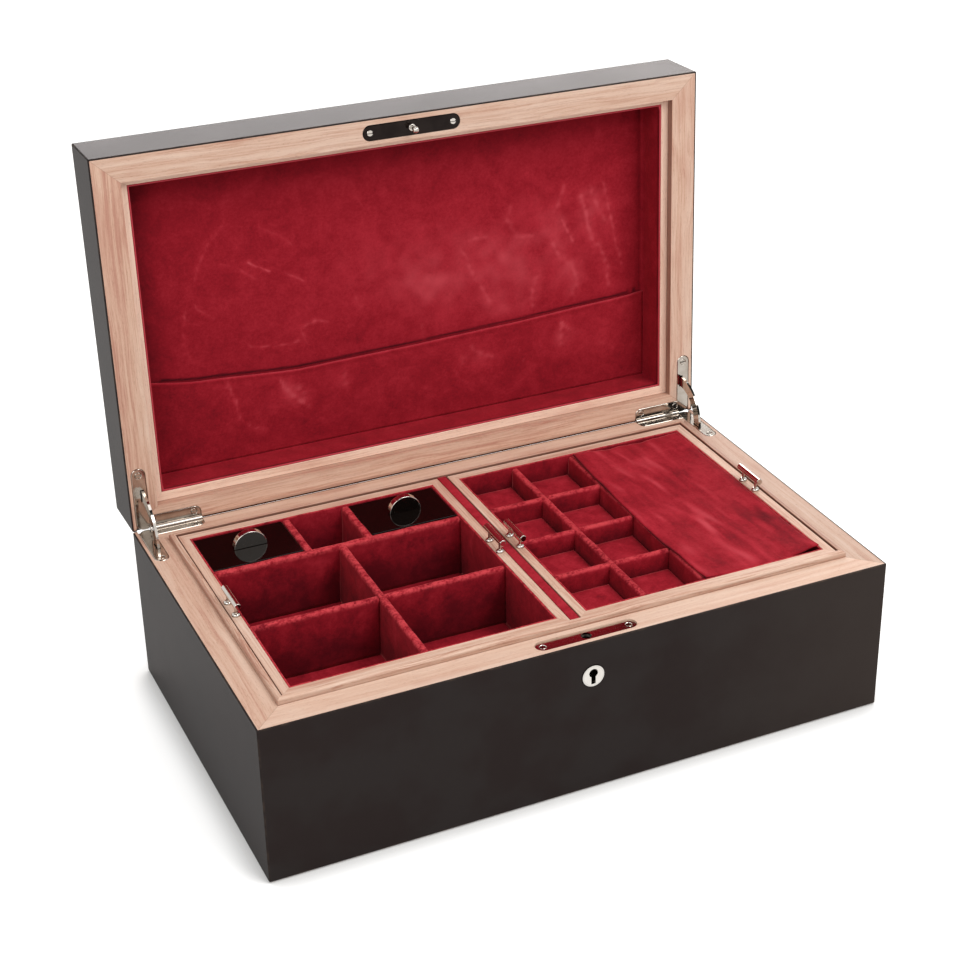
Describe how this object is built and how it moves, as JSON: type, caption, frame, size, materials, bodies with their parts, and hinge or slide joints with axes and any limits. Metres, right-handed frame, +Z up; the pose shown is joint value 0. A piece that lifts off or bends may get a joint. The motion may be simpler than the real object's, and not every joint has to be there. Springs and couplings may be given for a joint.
{
  "type": "cufflink display box",
  "caption": "Lacquered wooden box with hinged lid on quadrant stays, lift-out suede-lined trays with cufflink cells, lidded compartments and a box lock.",
  "frame": {"origin": "middle of the base's footprint, on the face it stands on", "axes": "+X to the right along the front, +Y from the front to the hinges, +Z up"},
  "size_m": [0.4, 0.2869, 0.3418],
  "materials": {
    "cedar": "pale pinkish cedar, oiled",
    "dark_lacquer": "dark brown-black satin lacquer over veneer",
    "board": "plain board",
    "crimson_suede": "brushed crimson suede",
    "baize": "black baize",
    "polished_nickel": "polished nickel plate",
    "black_gloss": "black high gloss lacquer",
    "lock_steel": "plain steel"
  },
  "bodies": {
    "base": {"base_front_rail": "cedar", "base_back_rail": "cedar", "base_left_rail": "cedar", "base_right_rail": "cedar", "base_lacquered_panels": "dark_lacquer", "base_bottom_panel": "board", "base_baize": "baize", "base_liner_front": "cedar", "base_liner_back": "cedar", "base_liner_left": "cedar", "base_liner_right": "cedar", "base_floor_suede": "crimson_suede", "centre_partition": "crimson_suede", "tray_bearers": "cedar", "hinge_base_leaf_left": "polished_nickel", "hinge_base_leaf_right": "polished_nickel", "hinge_pins": "polished_nickel", "hinge_base_screws": "polished_nickel", "lock_case": "lock_steel", "lock_plate": "polished_nickel", "lock_plate_screws": "polished_nickel", "keyhole_escutcheon": "polished_nickel"},
    "lid": {"lid_front_rail": "cedar", "lid_back_rail": "cedar", "lid_left_rail": "cedar", "lid_right_rail": "cedar", "lid_lacquered_panels": "dark_lacquer", "lid_top_panel": "board", "lid_liner_boards": "cedar", "lid_lining": "crimson_suede", "lid_pocket": "crimson_suede", "hinge_lid_leaf_left": "polished_nickel", "hinge_lid_leaf_right": "polished_nickel", "hinge_lid_screws": "polished_nickel", "strike_plate": "polished_nickel", "strike_stud": "polished_nickel", "strike_screws": "polished_nickel"},
    "stay_left": {"hinge_stay_left": "polished_nickel"},
    "stay_right": {"hinge_stay_right": "polished_nickel"},
    "lock_bolt": {"lock_bolt": "lock_steel"},
    "left_tray": {"left_tray_frame": "cedar", "left_tray_bottom": "board", "left_tray_lining": "crimson_suede", "left_tray_dividers": "crimson_suede", "left_tray_grip_left": "polished_nickel", "left_tray_grip_right": "polished_nickel", "small_lid_ledges": "crimson_suede"},
    "right_tray": {"right_tray_frame": "cedar", "right_tray_bottom": "board", "right_tray_lining": "crimson_suede", "right_tray_dividers": "crimson_suede", "cufflink_cell_pads": "crimson_suede", "right_tray_grip_left": "polished_nickel", "right_tray_grip_right": "polished_nickel"},
    "small_lid_left": {"small_lid_left": "black_gloss", "small_pull_left": "polished_nickel"},
    "small_lid_right": {"small_lid_right": "black_gloss", "small_pull_right": "polished_nickel"},
    "suede_cover": {"suede_cover": "crimson_suede"}
  },
  "joints": [
    {"name": "lid_hinge", "type": "hinge", "parent": "base", "child": "lid", "pos_m": [0, 0.12, 0.102], "axis": [-1, 0, 0], "range_deg": [-92, 0]},
    {"name": "stay_left_turn", "type": "hinge", "parent": "base", "child": "stay_left", "pos_m": [-0.19, 0.12, 0.102], "axis": [-1, 0, 0], "range_deg": [-46, 0]},
    {"name": "stay_right_turn", "type": "hinge", "parent": "base", "child": "stay_right", "pos_m": [0.19, 0.12, 0.102], "axis": [-1, 0, 0], "range_deg": [-46, 0]},
    {"name": "lock_bolt_slide", "type": "slide", "parent": "base", "child": "lock_bolt", "axis": [1, 0, 0], "range_m": [0, 0.006]},
    {"name": "left_tray_lift", "type": "slide", "parent": "base", "child": "left_tray", "axis": [0, 0, 1], "range_m": [0, 0.06]},
    {"name": "right_tray_lift", "type": "slide", "parent": "base", "child": "right_tray", "axis": [0, 0, 1], "range_m": [0, 0.06]},
    {"name": "small_lid_left_lift", "type": "slide", "parent": "left_tray", "child": "small_lid_left", "axis": [0, 0, 1], "range_m": [0, 0.03]},
    {"name": "small_lid_right_lift", "type": "slide", "parent": "left_tray", "child": "small_lid_right", "axis": [0, 0, 1], "range_m": [0, 0.03]},
    {"name": "cover_fold", "type": "hinge", "parent": "right_tray", "child": "suede_cover", "pos_m": [0.1702, 0, 0.1056], "axis": [0, 1, 0], "range_deg": [0, 85]}
  ],
  "couplings": [
    {"joint": "stay_left_turn", "follows": "lid_hinge", "ratio": 0.5},
    {"joint": "stay_right_turn", "follows": "lid_hinge", "ratio": 0.5}
  ]
}
